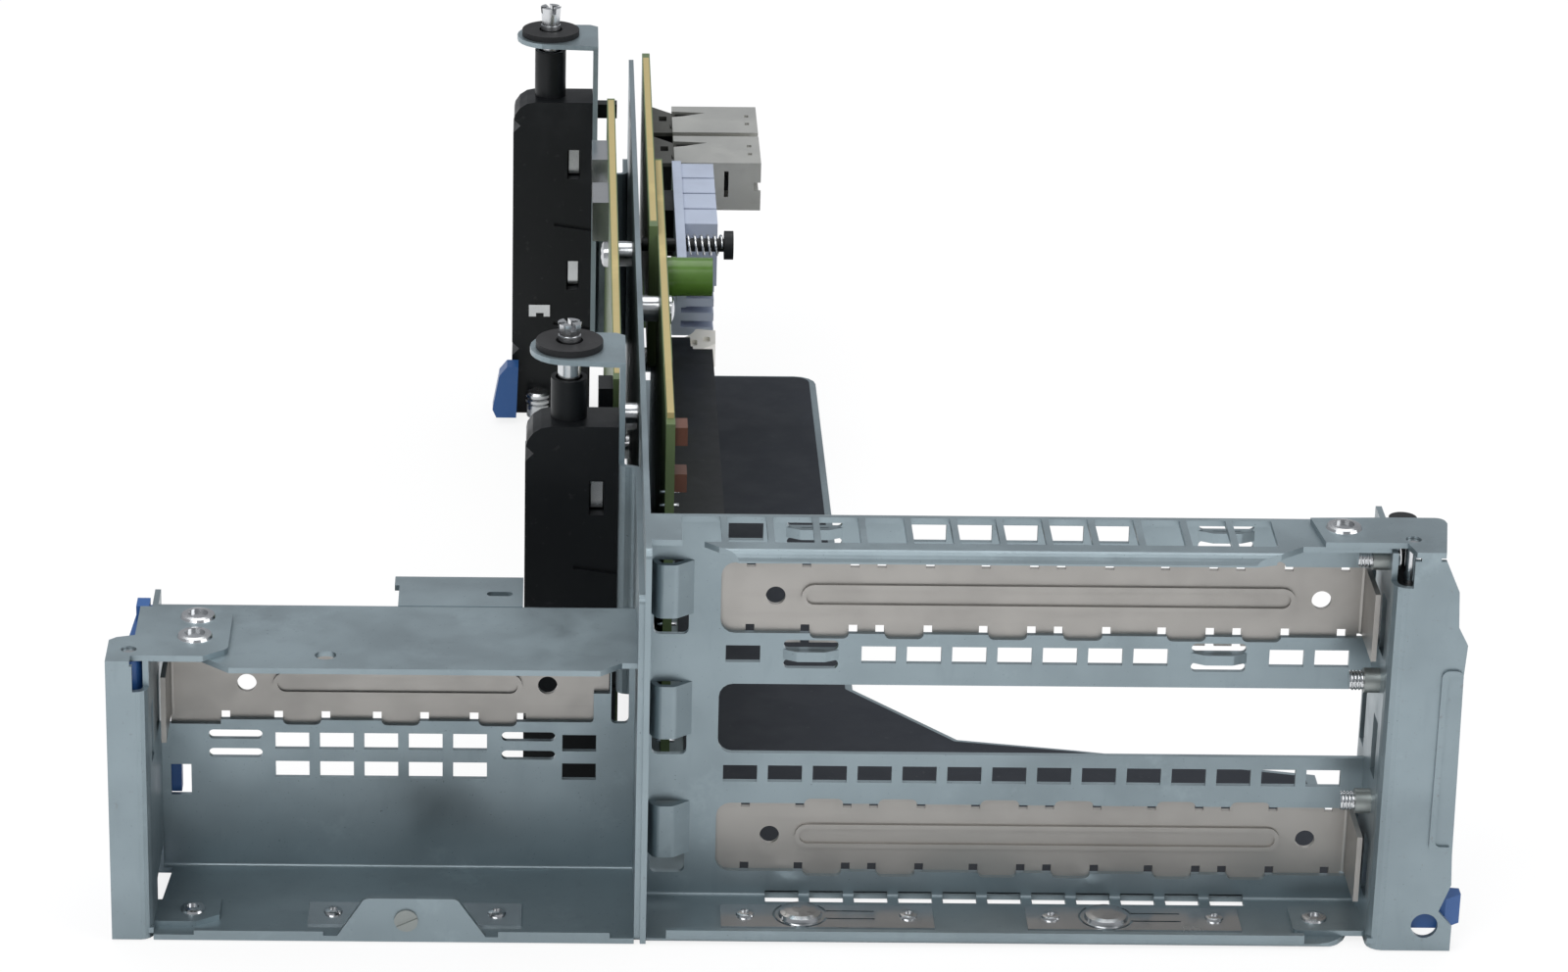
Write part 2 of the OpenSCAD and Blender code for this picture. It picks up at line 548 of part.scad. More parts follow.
// Recesses of the low-profile window's lower edge
left_recess_xs = [-57.9, -41, -24.4];
module left_shell() color([0.62, 0.68, 0.71]) difference() {
    union() {
        sideways(left_x, left_w - sheet_t) folded([[0, sheet_t / 2], [left_panel_y + sheet_t / 2,
            sheet_t / 2],
            [left_panel_y + sheet_t / 2, left_h - sheet_t / 2], [0, left_h - sheet_t / 2]]);
        // low lips and the front tab along the floor's edge
        upright(0, sheet_t) {
            rect([-75.2, 0], [-53.4, 1.8]);
            rect([-23.9, 0], [-5.1, 2]);
            polygon(concat([[-51.7, 0], [-25.3, 0]], arc([-31.6, 6.6], 1.5, 20, 90), arc([-45.6, 6.6],
                1.5, 90, 160)));
        }
        // rear tab behind the top plate
        flat(left_h - sheet_t, sheet_t) polygon([[-41.4, left_panel_y], [-41.4, 34.6], [-42.2, 34.6],
            [-42.2, 38.4],
            [-20.2, 38.4], [-20.2, left_panel_y]]);
    }
    flat(left_h - 3, 5) left_plate_cuts();
    upright(left_panel_y - 0.3, sheet_t + cut) {
        round_rect([left_x, left_slot_z - window_half], [-8, left_slot_z + window_half], 0.6);
        rect([-20, left_slot_z - 1], [-5.2, left_slot_z + window_half]);
        rect([left_x - cut, left_slot_z - window_half - recess_d], [-71.8, left_slot_z]);
        recesses(left_recess_xs, left_slot_z);
        vent_row([for (i = [0:4]) left_vent_x0 + i * vent_pitch], left_row_z[0]);
        vent_row([for (i = [0:4]) left_vent_x0 + i * vent_pitch], left_row_z[1]);
        vent_row([left_vent_x0 + 49.2], left_row_z[0]);
        vent_row([left_vent_x0 + 49.2], left_row_z[1]);
        lance_slots(-69.3, 24.4);
        lance_slots(-19.1, 24.4);
        round_rect([-5, left_slot_z - 6.6], [-2, left_slot_z + 6.8], 0.8);
        rect([-80.5, 14.6], [-77, 20.4]);
    }
    // hole in the top plate, and the slot in the rear tab
    translate([-52.8, 5.4, left_h - 3]) cylinder(5, d = 3.6);
    flat(left_h - 3, 5) round_rect([-26.4, 30.4], [-22, 32.2], 0.85);
    // the floor's left edge leaves a gap beside the column
    flat(-cut, sheet_t + 2 * cut) polygon([[left_x - cut, 11], [left_x + 0.4, 11], [left_x + 1.6,
        left_panel_y - 1], [left_x - cut, left_panel_y - 1]]);
    spring_rivet_holes(left_spring_x, left_spring_y);
    translate([left_floor_tab_x, left_floor_tab_y, -cut]) cylinder(sheet_t + 2 * cut,
        d = rivet_d + 2 * fit_gap);
    for (p = left_cap_rivets) translate([p[0], p[1], left_h - 3]) cylinder(5, d = rivet_d + 2 * fit_gap);
    translate([pin_place[0], -cut, pin_place[1]]) rotate([-90, 0, 0]) cylinder(sheet_t + 2 * cut,
        d = pin_d + 2 * fit_gap);
}

left_flange_w = 7;
module left_column() color([0.66, 0.72, 0.75]) {
    difference() {
        union() {
            flat(0, left_h) folded([[left_x - sheet_t / 2, left_panel_back + 5], [left_x - sheet_t / 2,
                sheet_t / 2],
                [left_x - 3, sheet_t / 2]], r = 1.2);
            upright(0, sheet_t) rect([left_x - left_flange_w, 0], [left_x - 2, left_h]);
        }
        translate([left_x - 2.6, -cut, left_h - 4.6]) cube([4, 3.4, 4.6 + cut]);
        // openings for the latch's hook, the bracket's tab and the floor's bend
        translate([left_x - sheet_t - cut, left_panel_back + 0.1, 13.4]) cube([sheet_t + 2 * cut, 8, 8.4]);
        wall_window(left_x - sheet_t, left_slot_z);
        translate([left_x - sheet_t - cut, 11, -cut]) cube([sheet_t + 2 * cut, left_panel_y - 12, 7]);
    }
    // top cap with its tab over the top plate
    difference() {
        flat(left_h, sheet_t) polygon(concat([[left_x - 7, 0], [left_x - 3, 0], [left_x - 3, 2.4],
            [left_x + 9, 2.4]],
            arc([left_x + 11, 6.4], 2, -60, 0), arc([left_x + 11.4, 19.4], 1.6, 0, 90), [[left_x + 11,
                22.6],
            [left_x - 2.8, 22.6], [left_x - 2.8, 10.7], [left_x - 5.8, 9.8], [left_x - 7, 8.6]]));
        for (p = left_cap_rivets) translate([p[0], p[1], left_h - cut]) cylinder(3,
            d = rivet_d + 2 * fit_gap);
        translate([left_latch_x, left_latch_y, left_h - cut]) cylinder(3, d = latch_pin_d + 2 * fit_gap);
    }
    // tab over the left floor, and the foot that carries the latch
    difference() {
        flat(sheet_t, sheet_t) union() {
            polygon([[left_x - 0.5, 3], [left_x + 7, 3], [left_x + 10.8, 5.6], [left_x + 10.8, 11.6],
                [left_x - 0.5, 11]]);
            rect([left_x - 6.4, 0.5], [left_x, 9]);
        }
        translate([left_floor_tab_x, left_floor_tab_y, 0]) cylinder(3, d = rivet_d + 2 * fit_gap);
        translate([left_latch_x, left_latch_y, 0]) cylinder(3, d = latch_pin_d + 2 * fit_gap);
    }
}

left_latch_z = [2 * sheet_t + 0.2, left_h - 0.2];
// Rise of the left latch's thumb tab over the top plate
thumb_rise = 0.6;
module latch_left() color([0.20, 0.35, 0.59]) {
    latch_eye(left_latch_x, left_latch_y, left_latch_z[0], left_latch_z[1], 4.8);
    flat(left_latch_z[0] + 2, left_latch_z[1] - left_latch_z[0] - 4) polygon([[left_latch_x - 1.6,
        left_latch_y + 1.6],
        [left_latch_x + 1.6, left_latch_y + 1.6], [left_x - sheet_t - move_gap, left_latch_y + 3.4],
        [left_x - sheet_t - move_gap, left_panel_back + 3.4], [left_x - 3.6, left_panel_back + 3.4]]);
    // hook that reaches through the column behind the panel
    flat(14.4, 6.2) rect([left_x - 3, left_panel_back + 0.7], [left_x + 3.2, left_panel_back + 3.4]);
    // thumb tab that stands up behind the cap
    flat(left_h - 10, thumb_rise + 10)
        rect([left_x - 3.6, 23.4], [left_x - sheet_t - move_gap, left_panel_back]);
}

// Low-profile cover behind the left panel
left_cover_holes = [-67.3, -15.9];
module cover_low_profile() color([0.66, 0.65, 0.63]) {
    y = left_panel_back;
    difference() {
        union() {
            upright(y, cover_t) rect([left_x + 1.6, left_slot_z - cover_half], [-5.4,
                left_slot_z + cover_half]);
            flat(left_slot_z - window_half + 0.4, window_h - 0.8) folded([[left_x + 3, y + cover_t / 2],
                [left_x + 0.8 + cover_t / 2, y + cover_t / 2], [left_x + 0.8 + cover_t / 2,
                    y - ear_reach]], cover_t, 0.5);
        }
        upright(y - cut, cover_t + 2 * cut) {
            for (x = left_cover_holes) translate([x, left_slot_z]) circle(d = cover_hole_d);
            cover_notches(left_recess_xs, left_slot_z, [-71], false, true);
        }
    }
    rib(-62.8, -20.2, left_slot_z, y);
}

module corner_rivets() color([0.68, 0.69, 0.70]) {
    translate([cap_rivet[0], cap_rivet[1], 0]) cap_rivet_body(cage_h);
    for (p = left_cap_rivets) translate([p[0], p[1], 0]) cap_rivet_body(left_h);
}
module cap_rivet_body(h) difference() {
    union() {
        translate([0, 0, h - sheet_t]) cylinder(2 * sheet_t, d = rivet_d);
        translate([0, 0, h + sheet_t]) dome_head(6, 0.7);
    }
    translate([0, 0, h + sheet_t + 0.1]) cylinder(1, d = 3.4);
}

module lock_pin() color([0.60, 0.62, 0.62]) difference() {
    union() {
        translate([pin_place[0], -0.4, pin_place[1]]) rotate([-90, 0, 0]) cylinder(0.4, d = 4);
        translate([pin_place[0], -0.1, pin_place[1]]) rotate([-90, 0, 0]) cylinder(2.6, d = pin_d);
    }
    translate([pin_place[0], 0, pin_place[1]]) rotate([0, -25, 0]) translate([-3, -1, -0.35]) cube([6,
        0.8, 0.7]);
}

// ---------- circuit boards and what they carry ----------

board_x = sheet_t + board_gap;
board_face = board_x + board_t;
edge_y = [100, 190];
board_y = [61, 203];
rear_board_y = [156, wall_len + 2];
board_bottom = sheet_t + insulator_t + 2;
module board_holes(x, t, places, d) for (p = places)
    translate([x - cut, p[0], p[1]]) rotate([0, 90, 0]) cylinder(t + 2 * cut, d = d + 2 * fit_gap);

module riser_board() color([0.30, 0.38, 0.20]) difference() {
    sideways(board_x, board_t) polygon([[board_y[0], board_bottom], [edge_y[0], board_bottom],
        [edge_y[0], 0.4],
        [edge_y[1], 0.4], [edge_y[1], board_bottom], [board_y[1], board_bottom], [board_y[1], board_h - 2],
        [board_y[1] - 2, board_h], [board_y[0] + 30, board_h], [board_y[0] + 28, board_h - 1],
            [board_y[0], board_h - 1]]);
    board_holes(board_x, board_t, standoff_places, board_screw_d);
    board_holes(board_x, board_t, [push_pin_place], push_pin_d);
}

// Second board between the riser board and the wall, with the cable connectors
module rear_board() color([0.36, 0.42, 0.30]) difference() {
    sideways(board_x - board_t, board_t) polygon([[rear_board_y[0], 44], [210, 44], [214, 30],
        [rear_board_y[1], 30],
        [rear_board_y[1], board_h + 1.8], [rear_board_y[0], board_h + 1.8]]);
    board_holes(board_x - board_t, board_t, standoff_places, standoff_d);
    board_holes(board_x - board_t, board_t, [push_pin_place], push_pin_d);
}

left_board_x = -4.7;
left_board_y = [80, far_tower_y - 1];
module left_board() color([0.42, 0.48, 0.24]) difference() {
    sideways(left_board_x, board_t) polygon([[left_board_y[0], 4], [left_board_y[1], 4],
        [left_board_y[1], board_h - 2],
        [left_board_y[1] - 2, board_h], [left_board_y[0], board_h]]);
    board_holes(left_board_x, board_t, left_standoff_places, board_screw_d);
}

// Threaded sleeves between the wall and the boards
left_gap = -left_board_x - board_t;
module sleeve(h) difference() {
    cylinder(h, d = standoff_d);
    translate([0, 0, -cut]) cylinder(h + 2 * cut, d = board_screw_d + 2 * fit_gap);
}
module standoffs() color([0.72, 0.73, 0.74]) {
    for (p = standoff_places) translate([sheet_t, p[0], p[1]]) rotate([0, 90, 0]) sleeve(board_gap);
    for (p = left_standoff_places) translate([0, p[0], p[1]]) rotate([0, -90, 0]) sleeve(left_gap);
}

// Screws through board, sleeve and wall
module board_screw(h) {
    translate([0, 0, -sheet_t]) cylinder(h + sheet_t, d = board_screw_d);
    difference() {
        translate([0, 0, h]) dome_head(5.6, 1.5);
        for (a = [0, 90]) rotate([0, 0, a + 20]) translate([-1.4, -0.3, h + 0.7]) cube([2.8, 0.6, 2]);
    }
}
module board_screws() color([0.75, 0.76, 0.77]) {
    for (p = standoff_places) translate([sheet_t, p[0], p[1]]) rotate([0, 90,
        0]) board_screw(board_gap + board_t);
    for (p = left_standoff_places) translate([0, p[0], p[1]]) rotate([0, -90,
        0]) board_screw(left_gap + board_t);
}

// Card socket: base on the board and a narrower mouth with a slot and one key across it
socket_w = 7.5;
socket_base = 6;
socket_out = 9.9;
module card_socket(y0, y1, z) difference() {
    union() {
        sideways(board_face, socket_base) rect([y0, z - socket_w / 2], [y1, z + socket_w / 2]);
        sideways(board_face, socket_out) rect([y0 + 0.6, z - socket_w / 2 + 0.3], [y1 - 0.6,
            z + socket_w / 2 - 0.3]);
    }
    sideways(board_face + 2.6, socket_out) {
        rect([y0 + 1.8, z - 0.9], [y0 + 12.6, z + 0.9]);
        rect([y0 + 14.4, z - 0.9], [y1 - 1.8, z + 0.9]);
    }
}
socket_y0 = board_y[0] + 22;
socket_rise = 4;
x16_len = 89;
x8_len = 56;
clip_y = socket_y0 + x16_len;
clip_z = slot_z(1) + socket_rise;
clip_pin = [board_face + 3, clip_y + 2.6];
clip_pin_d = 1.8;
module slot_connector() color([0.13, 0.14, 0.16]) {
    card_socket(socket_y0, clip_y, clip_z);
    // fork with the retaining clip's pin
    sideways(board_face, 5.6) for (s = [-1, 1])
        rect([clip_y - 1, clip_z + s * 3.1 - 0.5], [clip_y + 5.4, clip_z + s * 3.1 + 0.5]);
    translate([clip_pin[0], clip_pin[1], clip_z - 3.4]) cylinder(6.8, d = clip_pin_d);
}
left_socket_y = 88;
module slot_connector_left() color([0.13, 0.14, 0.16]) mirror([1, 0, 0])
    translate([-left_board_x - board_face, 0, 0]) card_socket(left_socket_y, left_socket_y + x8_len,
        left_slot_z);

// Retaining clip: a hooked arm that turns on its pin
module slot_clip() color([0.88, 0.87, 0.84]) difference() {
    flat(clip_z - 2.4, 4.8) polygon(concat([[clip_pin[0] - 2, clip_pin[1] - 1.6], [clip_pin[0] + 1.6,
        clip_pin[1] - 2],
        [board_face + 7.4, clip_y + 1.4], [board_face + 10.6, clip_y + 5]], [[board_face + 10.8,
            clip_y + 12.4],
        [board_face + 7.2, clip_y + 13.2]], arc([board_face - 2.4, clip_y + 14.8], 9.4, -12, -62, 6)));
    translate([clip_pin[0], clip_pin[1], clip_z - 4]) cylinder(8, d = clip_pin_d + 2 * pin_gap);
    // hollows in its upper face
    flat(clip_z + 1.6, 3) { round_rect([board_face + 5.4, clip_y + 4], [board_face + 7, clip_y + 7.4], 0.6);
        round_rect([board_face + 8.2, clip_y + 6], [board_face + 9.6, clip_y + 9], 0.6); }
}

// Cable connector: a folded metal shell, open on its right side
shell_x = board_face + 3.1;
shell_w = 17.7;
shell_len = 17;
shell_h = 10.2;
shell_top = 62;
shell_near_y = 225;
shell_far_y = 244.4;
module cable_shell(y) difference() {
    translate([shell_x, y, shell_top - shell_h]) cube([shell_w, shell_len, shell_h]);
    translate([shell_x + 0.6, y + 0.6, shell_top - shell_h + 0.6]) cube([shell_w, shell_len - 1.2,
        shell_h - 1.2]);
    translate([shell_x - cut, y + 2.2, shell_top - 7]) cube([3, 12.4, 3.6]);
    // pressed slots on the near face, a notch at its mouth and small windows on top
    for (x = [5.4, 10.2]) translate([shell_x + x, y - cut, shell_top - 7.4]) cube([0.9, 3, 5.6]);
    translate([shell_x + shell_w - 1.4, y - cut, shell_top - 6]) cube([3, 3, 1.8]);
    for (dy = [5, 10]) translate([shell_x + shell_w - 2.6, y + dy, shell_top - 2]) cube([0.9, 1.5, 4]);
    // tapered tongue cut free from the top
    flat(shell_top - 2, 4) polygon([[shell_x - cut, y + 9.6], [shell_x + 2.4, y + 10.6], [shell_x + 7,
        y + 12.8],
        [shell_x - cut, y + 13.6]]);
}
module cable_connector_near() color([0.66, 0.66, 0.64]) cable_shell(shell_near_y);
module cable_connector_far() color([0.66, 0.66, 0.64]) cable_shell(shell_far_y);
// Black housings between board and shells
module connector_inserts() color([0.16, 0.16, 0.15]) for (y = [shell_near_y, shell_far_y]) {
    translate([board_x, y + 2.4, shell_top - 9]) cube([shell_x - board_x, 12, 7.6]);
    translate([shell_x - 0.5, y + 2.4, shell_top - 6.8]) cube([shell_w - 3, 12, 3.2]);
}
// Flat dark braces over the housings, cut through near the board
module connector_braces() color([0.18, 0.18, 0.17]) for (y = [shell_near_y, shell_far_y])
    flat(shell_top - 1.4, 0.8) difference() {
        polygon([[board_x, y + 1.4], [shell_x, y + 1.4], [shell_x, y + 14], [board_x, y + shell_len + 2]]);
        rect([board_face + 0.4, y + 9], [board_face + 2, y + 12]);
        polygon([[board_face + 3, y + 4], [shell_x - 0.5, y + 4], [shell_x - 0.5, y + 7]]);
    }

// Heat sink: base plate over its chip, with blocks of fins
sink_t = 1.8;
sink_x = board_face + 2.2;
fin_out = 6.6;
module sink_blocks(y0, y1, z0, z1, n) for (k = [0:n - 1]) let (step = (y1 - y0 + 0.8) / n)
    translate([sink_x + sink_t - 0.1, y0 + k * step, z0]) cube([fin_out, step - 0.8, z1 - z0]);
// The same with its fins lying flat
module sink_shelves(y0, y1, z0, z1, n) for (k = [0:n - 1]) let (step = (z1 - z0 + 1.4) / n)
    translate([sink_x + sink_t - 0.1, y0, z0 + k * step]) cube([fin_out, y1 - y0, step - 1.4]);
big_sink = [[174.5, 211.5], [53.5, 67]];
small_sink = [[189, 203], [38, 52]];
push_pin_d = 2.6;
push_pin_place = [170, 64];
module heat_sink_large() color([0.70, 0.73, 0.78]) difference() {
    union() {
        translate([sink_x, big_sink[0][0], big_sink[1][0]])
            cube([sink_t, big_sink[0][1] - big_sink[0][0], big_sink[1][1] - big_sink[1][0]]);
        translate([sink_x, 154, push_pin_place[1] - 7]) cube([sink_t, big_sink[0][0] - 153, 10]);
        sink_blocks(big_sink[0][0] + 1, big_sink[0][1], big_sink[1][0], big_sink[1][1] - 0.6, 4);
        translate([sink_x + 1, big_sink[0][0] + 1, big_sink[1][0]]) cube([sink_t + 1.6,
            big_sink[0][1] - big_sink[0][0] - 1, big_sink[1][1] - big_sink[1][0] - 3]);
    }
    board_holes(sink_x, sink_t, [push_pin_place], push_pin_d);
}
module heat_sink_small() color([0.70, 0.73, 0.78]) {
    translate([sink_x, small_sink[0][0], small_sink[1][0]])
        cube([sink_t, small_sink[0][1] - small_sink[0][0], small_sink[1][1] - small_sink[1][0]]);
    sink_shelves(small_sink[0][0], small_sink[0][1], small_sink[1][0], small_sink[1][1], 5);
}
module chips() color([0.12, 0.12, 0.13]) for (s = [big_sink, small_sink])
    translate([board_face, (s[0][0] + s[0][1]) / 2 - 6, s[1][0] + 2]) cube([sink_x - board_face, 12, 9.6]);

// Push pin: barbed shank, head at its outer end
pin_out = 19.4;
module push_pin() color([0.10, 0.10, 0.10]) translate([0, push_pin_place[0],
    push_pin_place[1]]) rotate([0, 90, 0]) {
    translate([0, 0, sheet_t + 0.6]) cylinder(pin_out - sheet_t - 0.6, d = push_pin_d);
    translate([0, 0, pin_out - 1.8]) cylinder(1.8, d = 5.6);
}
spring_turns = 5;
module push_pin_spring() color([0.75, 0.75, 0.76]) translate([0, push_pin_place[0], push_pin_place[1]])
    rotate([0, 90, 0]) translate([0, 0, sink_x + sink_t]) difference() {
        spring_len = pin_out - 1.8 - sink_x - sink_t;
        cylinder(spring_len, d = 4.2);
        translate([0, 0, -cut]) cylinder(spring_len + 2 * cut, d = push_pin_d + 2 * fit_gap);
        for (k = [0:spring_turns - 1]) translate([0, 0,
            (k + 0.32) * spring_len / spring_turns]) difference() {
            cylinder(spring_len / spring_turns * 0.5, d = 6);
            translate([0, 0, -cut]) cylinder(5, d = push_pin_d + 0.7);
        }
    }

module capacitor() color([0.28, 0.42, 0.14]) translate([board_face, 149.4, 65]) rotate([0, 90, 0]) {
    cylinder(8.8, d = 7.4);
    translate([0, 0, 1]) cylinder(0.8, d = 7.6);
}

// Ceramic capacitors on the riser board
module brown_capacitors() color([0.45, 0.33, 0.26]) for (z = [56.8, 65.6])
    translate([board_face, board_y[0] + 1, z]) cube([2.2, 4.6, 3.4]);

// ---------- screw towers ----------

screw_dx = 7.6;
screw_dy = 5.4;
// Gaps between the two towers' tubes and their ears
near_tube_gap = 3.6;
far_tube_gap = 1.2;
// Radius of a tower's shoulder
shoulder_r = 4.5;
// Silhouette of a tower seen from the front, with its V notches on the left
module tower_front() difference() {
    polygon(concat([[0, 0], [tower_w, 0], [tower_w, tower_h]], arc([shoulder_r, tower_h - shoulder_r],
        shoulder_r, 90, 180)));
    for (z = [14.5, tower_h - 5.1]) polygon([[-cut, z - 2.4], [0, z - 1.5], [1.5, z], [0, z + 1.5],
        [-cut, z + 2.4]]);
}
module tower(x, y, tube_gap) difference() {
    union() {
        translate([x, 0, 0]) upright(y, tower_d) tower_front();
        // slab at the top that reaches behind the ear's leg
        translate([x + tower_w - 1, y + 6.6, tower_h - 5.5]) cube([-x - tower_w - 1.5, tower_d - 6.6, 3]);
        translate([x + screw_dx, y + screw_dy, tower_h - 1]) cylinder(ear_z - tower_h - tube_gap,
            d = tube_d);
    }
    translate([x + screw_dx, y + screw_dy, -cut]) cylinder(ear_z + 5, d = screw_d + 2 * move_gap);
    // small windows that show the screw
    for (z = [31, 55.5]) translate([x + screw_dx + 3.7, y - cut, z - 3.2]) cube([2.6, 4.6, 6.4]);
    // shallow slanting fields of the front
    for (z = [20, 42]) translate([x + screw_dx + 1, y - cut, z]) rotate([0, 8, 0]) cube([8.4, 1.5, 0.8]);
}
module near_tower() color([0.10, 0.11, 0.12]) tower(near_tower_x, near_tower_y, near_tube_gap);
module far_tower() color([0.10, 0.11, 0.12]) tower(far_tower_x, far_tower_y, far_tube_gap);

// Ear over a tower, with the leg that comes down beside the tower
ear_r = 6.9;
leg_w = 8.4;
module ear(x, y) difference() {
    flat(ear_z, sheet_t) polygon(concat([[x + tower_w + sheet_t, y + screw_dy - leg_w + 0.6],
        [x + tower_w + sheet_t, y + screw_dy + ear_r - 1.2], [x + tower_w - 0.6, y + screw_dy + ear_r]],
        arc([x + screw_dx, y + screw_dy], ear_r, 90, 270, 12)));
    translate([x + screw_dx, y + screw_dy, ear_z - cut]) cylinder(3, d = screw_d + 2 * move_gap);
}
leg_y = screw_dy - leg_w + 0.6;
module leg(x, y, z0, d) sideways(x + tower_w, sheet_t) rect([y + leg_y, z0], [y + leg_y + d, ear_z + 0.6]);

wall_top = 63.5;
// Near ear: its leg turns towards the long wall and runs on as the left cage's side
module near_ear() color([0.66, 0.72, 0.75]) {
    ear(near_tower_x, near_tower_y);
    leg(near_tower_x, near_tower_y, wall_top - 1, leg_w);
    flat(20, wall_top - 20) folded([[near_tower_x + tower_w + sheet_t / 2, near_tower_y + leg_y + leg_w],
        [near_tower_x + tower_w + sheet_t / 2, near_tower_y - 4.4], [-sheet_t / 2, near_tower_y - 4.4],
        [-sheet_t / 2, 34]], r = 0.8);
    sideways(-sheet_t, sheet_t) round_rect([0.6, 0], [36, wall_top], 1.2);
}
// Far ear: its leg turns back to the long wall behind the tower
module far_ear() color([0.66, 0.72, 0.75]) {
    ear(far_tower_x, far_tower_y);
    leg(far_tower_x, far_tower_y, 49, leg_w);
    flat(12, 38) folded([[far_tower_x + tower_w + sheet_t / 2, far_tower_y + leg_y],
        [far_tower_x + tower_w + sheet_t / 2, far_tower_y + tower_d + 1], [-sheet_t / 2,
            far_tower_y + tower_d + 1],
        [-sheet_t / 2, wall_len]], r = 0.8);
}

module ear_washers() color([0.06, 0.06, 0.07])
    for (p = [[near_tower_x, near_tower_y], [far_tower_x, far_tower_y]])
        translate([p[0] + screw_dx, p[1] + screw_dy, ear_z + sheet_t]) difference() {
            cylinder(1.2, d = washer_d);
            translate([0, 0, -cut]) cylinder(4, d = screw_d + 2 * move_gap);
        }

// Long captive screw: shank, thread end and the splined end above the washer
module captive_screw(x, y, rise) translate([x + screw_dx, y + screw_dy, 1.2]) {
    cylinder(7, d = screw_d - 0.8);
    translate([0, 0, 7]) cylinder(ear_z - 5, d = screw_d);
    translate([0, 0, ear_z + 2]) difference() {
        cylinder(rise, d1 = screw_d - 0.4, d2 = screw_d + 0.2);
        for (a = [0, 90]) translate([0, 0, rise - 1.2]) rotate([0, 0, a + 20]) translate([-3, -0.4,
            0]) cube([6, 0.8, 2]);
    }
}
module near_captive_screw() color([0.78, 0.79, 0.80]) captive_screw(near_tower_x, near_tower_y, 2.3);
module far_captive_screw() color([0.78, 0.79, 0.80]) captive_screw(far_tower_x, far_tower_y, 3.8);

// Blue lever at the far tower's foot, on its pin
lever_y = far_tower_y - 6;
lever_t = 4.4;
lever_pin = [far_tower_x - 0.4, 4.4];
lever_pin_d = 2;
module release_lever() color([0.20, 0.35, 0.59]) difference() {
    upright(lever_y, lever_t) polygon([[far_tower_x + 1, 1.2], [far_tower_x - 3.2, 1.2],
        [far_tower_x - 4, 3],
        [far_tower_x - 2.6, 10.6], [far_tower_x - 1, 12.6], [far_tower_x + 1.4, 12.6]]);
    translate([lever_pin[0], lever_y + 0.6, lever_pin[1]]) rotate([-90, 0, 0])
        cylinder(lever_t + 2 * cut, d = lever_pin_d + 2 * pin_gap);
}
module lever_pin() color([0.72, 0.73, 0.74]) translate([lever_pin[0], lever_y + 0.9, lever_pin[1]])
    rotate([-90, 0, 0]) cylinder(far_tower_y - lever_y - 0.9, d = lever_pin_d);
// Ringed collar beside it
module lever_collar() color([0.72, 0.73, 0.74]) translate([far_tower_x + 5.6, far_tower_y - 2.6,
    0.6]) rotate_extrude()
    polygon([[0, 0], [2.4, 0], [2.4, 2.6], [2, 2.9], [2.6, 3.2], [2.6, 3.8], [2, 4.1], [2.6, 4.4], [2.6,
        5], [2, 5.4], [0, 5.4]]);
module leaf_clip() color([0.75, 0.76, 0.77]) difference() {
    translate([far_tower_x + 3.5, far_tower_y - 0.6, 22]) cube([4.4, 0.6, 2.6]);
    translate([far_tower_x + 5, far_tower_y - 1, 21.6]) cube([1.6, 2, 1.2]);
}

// Parts on the left board's face
module left_board_shields() color([0.74, 0.75, 0.76]) for (y = [180, 206])
    translate([left_board_x - 3.2, y, board_h - 10]) cube([3.2, 12, 8]);
module left_board_header() color([0.20, 0.20, 0.21]) {
    translate([left_board_x - 2.6, 80.4, board_h - 12]) cube([2.6, 6.6, 10]);
}

// ---------- what is drawn ----------

main_wall();
slot_frame();
right_column();
insulator_sheet();
left_shell();
near_ear();
far_ear();
left_column();
cover_upper();
cover_lower();
cover_low_profile();
slot_screws();
slot_bushes();
contact_spring_a();
contact_spring_b();
contact_spring_left();
spring_rivets();
floor_tab_rivets();
corner_rivets();
lock_pin();
latch_bar_right();
latch_tab_right();
latch_left();
latch_pin_right();
latch_pin_left();
riser_board();
rear_board();
left_board();
slot_connector();
slot_connector_left();
slot_clip();
cable_connector_near();
cable_connector_far();
connector_inserts();
connector_braces();
heat_sink_large();
heat_sink_small();
chips();
push_pin();
push_pin_spring();
capacitor();
brown_capacitors();
standoffs();
board_screws();
near_tower();
far_tower();
ear_washers();
near_captive_screw();
far_captive_screw();
release_lever();
lever_pin();
lever_collar();
leaf_clip();
left_board_shields();
left_board_header();
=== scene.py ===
import json
import math
import bpy
from mathutils import Vector, Matrix


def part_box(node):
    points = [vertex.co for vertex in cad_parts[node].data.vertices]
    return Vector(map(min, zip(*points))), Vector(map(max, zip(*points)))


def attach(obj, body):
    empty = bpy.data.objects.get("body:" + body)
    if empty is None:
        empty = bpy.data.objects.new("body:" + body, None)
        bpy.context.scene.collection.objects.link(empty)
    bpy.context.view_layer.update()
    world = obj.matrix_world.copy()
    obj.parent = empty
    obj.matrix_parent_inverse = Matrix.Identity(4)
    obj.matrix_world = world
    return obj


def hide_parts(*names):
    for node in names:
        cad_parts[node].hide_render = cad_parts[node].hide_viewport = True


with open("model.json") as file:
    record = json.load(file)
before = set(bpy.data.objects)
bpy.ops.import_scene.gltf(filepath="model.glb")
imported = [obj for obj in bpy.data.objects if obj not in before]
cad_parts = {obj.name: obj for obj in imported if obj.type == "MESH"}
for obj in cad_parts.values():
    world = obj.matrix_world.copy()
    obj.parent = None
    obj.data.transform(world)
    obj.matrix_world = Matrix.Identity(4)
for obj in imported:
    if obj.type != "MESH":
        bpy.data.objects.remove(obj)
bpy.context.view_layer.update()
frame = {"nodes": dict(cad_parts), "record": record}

NODES = frame["nodes"]
RECORD = frame["record"]
